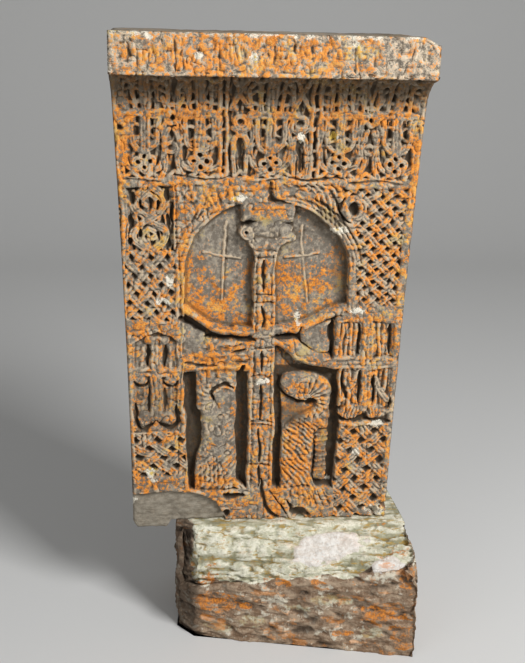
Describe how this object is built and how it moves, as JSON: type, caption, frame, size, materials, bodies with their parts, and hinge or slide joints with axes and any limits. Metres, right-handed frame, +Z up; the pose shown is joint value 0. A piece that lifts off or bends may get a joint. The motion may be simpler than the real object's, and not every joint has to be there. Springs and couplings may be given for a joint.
{
  "type": "khachkar",
  "caption": "Carved upright stone slab with a cross in a niche, knotwork bands, small crosses and a jutting cornice, standing by its weight on a rough stone plinth.",
  "frame": {"origin": "middle of the object's box, on the ground under the plinth", "axes": "+Z up, the carved face looks towards -Y, +X to the viewer's right"},
  "size_m": [0.898, 0.514, 1.8123],
  "materials": {
    "slab_stone": "weathered grey tuff, covered with orange lichen on the raised carving",
    "plinth_stone": "rough split stone with a pale lichen crust"
  },
  "bodies": {
    "root": {"cross_slab": "slab_stone", "plinth_block": "plinth_stone"}
  },
  "joints": []
}
